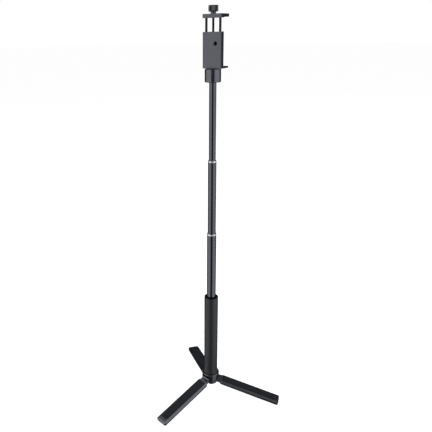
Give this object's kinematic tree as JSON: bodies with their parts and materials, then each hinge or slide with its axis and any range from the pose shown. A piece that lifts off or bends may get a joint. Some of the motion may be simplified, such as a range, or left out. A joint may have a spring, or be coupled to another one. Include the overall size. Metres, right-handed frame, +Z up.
{
  "type": "selfie stick",
  "caption": "Black telescopic selfie stick standing on a folding tripod, with a screw clamp for a phone at the top.",
  "frame": {"origin": "on the pole axis, in the plane that the three feet stand on", "axes": "+Z up the pole, -Y towards the user side of the clamp, phone held on the +Y side, +X along the jaws"},
  "size_m": [0.248, 0.2467, 0.7495],
  "materials": {
    "cast_black": "satin",
    "leg_metal": "satin",
    "leg_inlay": "matte",
    "rubber": "matte",
    "grip": "matte",
    "nylon": "matte",
    "black_tube": "satin",
    "pole_metal": "satin",
    "head_metal": "satin",
    "clamp_metal": "satin",
    "knob_metal": "satin",
    "silver": "polished",
    "steel": "satin",
    "dark_steel": "satin",
    "brass": "satin"
  },
  "bodies": {
    "handle": {"hub": "cast_black", "hub_screw": "steel", "hub_washer": "rubber", "base_plug": "nylon", "handle_tube": "black_tube", "grip_sleeve": "grip", "mouth_bush": "nylon", "leg_pins": "dark_steel", "leg_washers": "nylon"},
    "leg_a": {"leg_a_shell": "leg_metal", "leg_a_pad": "leg_inlay", "leg_a_foot": "rubber"},
    "leg_b": {"leg_b_shell": "leg_metal", "leg_b_pad": "leg_inlay", "leg_b_foot": "rubber"},
    "leg_c": {"leg_c_shell": "leg_metal", "leg_c_pad": "leg_inlay", "leg_c_foot": "rubber"},
    "tube_3": {"tube_3": "pole_metal", "tail_3": "nylon", "band_3": "brass", "bush_3": "nylon", "ring_3": "silver"},
    "tube_2": {"tube_2": "pole_metal", "tail_2": "nylon", "band_2": "brass", "bush_2": "nylon", "ring_2": "silver"},
    "tube_1": {"tube_1": "pole_metal", "tail_1": "nylon", "band_1": "brass", "pole_head": "head_metal", "head_stud": "steel", "head_set_screw": "dark_steel", "head_washer": "rubber"},
    "clamp": {"clamp_block": "clamp_metal", "back_pad": "rubber", "lower_pad": "rubber"},
    "upper_jaw": {"upper_jaw": "clamp_metal", "upper_pad": "rubber", "guide_rod_left": "dark_steel", "guide_rod_right": "dark_steel"},
    "thumbscrew": {"clamp_screw": "dark_steel", "thumb_knob": "knob_metal", "screw_clip": "steel"}
  },
  "joints": [
    {"name": "leg_a_fold", "type": "hinge", "parent": "handle", "child": "leg_a", "pos_m": [0.01175, 0.00328, 0.0336], "axis": [-0.2689, 0.9632, 0], "range_deg": [0, 77.5]},
    {"name": "leg_b_fold", "type": "hinge", "parent": "handle", "child": "leg_b", "pos_m": [-0.00872, 0.00853, 0.0336], "axis": [-0.6997, -0.7145, 0], "range_deg": [0, 77.5]},
    {"name": "leg_c_fold", "type": "hinge", "parent": "handle", "child": "leg_c", "pos_m": [-0.00303, -0.01182, 0.0336], "axis": [0.9686, -0.2487, 0], "range_deg": [0, 77.5]},
    {"name": "slide_3", "type": "slide", "parent": "handle", "child": "tube_3", "axis": [0, 0, 1], "range_m": [-0.1309, 0]},
    {"name": "slide_2", "type": "slide", "parent": "tube_3", "child": "tube_2", "axis": [0, 0, 1], "range_m": [-0.1355, 0]},
    {"name": "slide_1", "type": "slide", "parent": "tube_2", "child": "tube_1", "axis": [0, 0, 1], "range_m": [-0.1325, 0]},
    {"name": "clamp_turn", "type": "hinge", "parent": "tube_1", "child": "clamp", "pos_m": [0, 0, 0.6536], "axis": [0, 0, 1], "continuous": true},
    {"name": "jaw_slide", "type": "slide", "parent": "clamp", "child": "upper_jaw", "axis": [0, 0, 1], "range_m": [-0.0203, 0.012]},
    {"name": "screw_turn", "type": "hinge", "parent": "upper_jaw", "child": "thumbscrew", "pos_m": [0, 0, 0.737], "axis": [0, 0, 1], "range_deg": [-10442, 6173]}
  ],
  "couplings": [
    {"joint": "screw_turn", "follows": "jaw_slide", "rad_per_m": 8976}
  ]
}
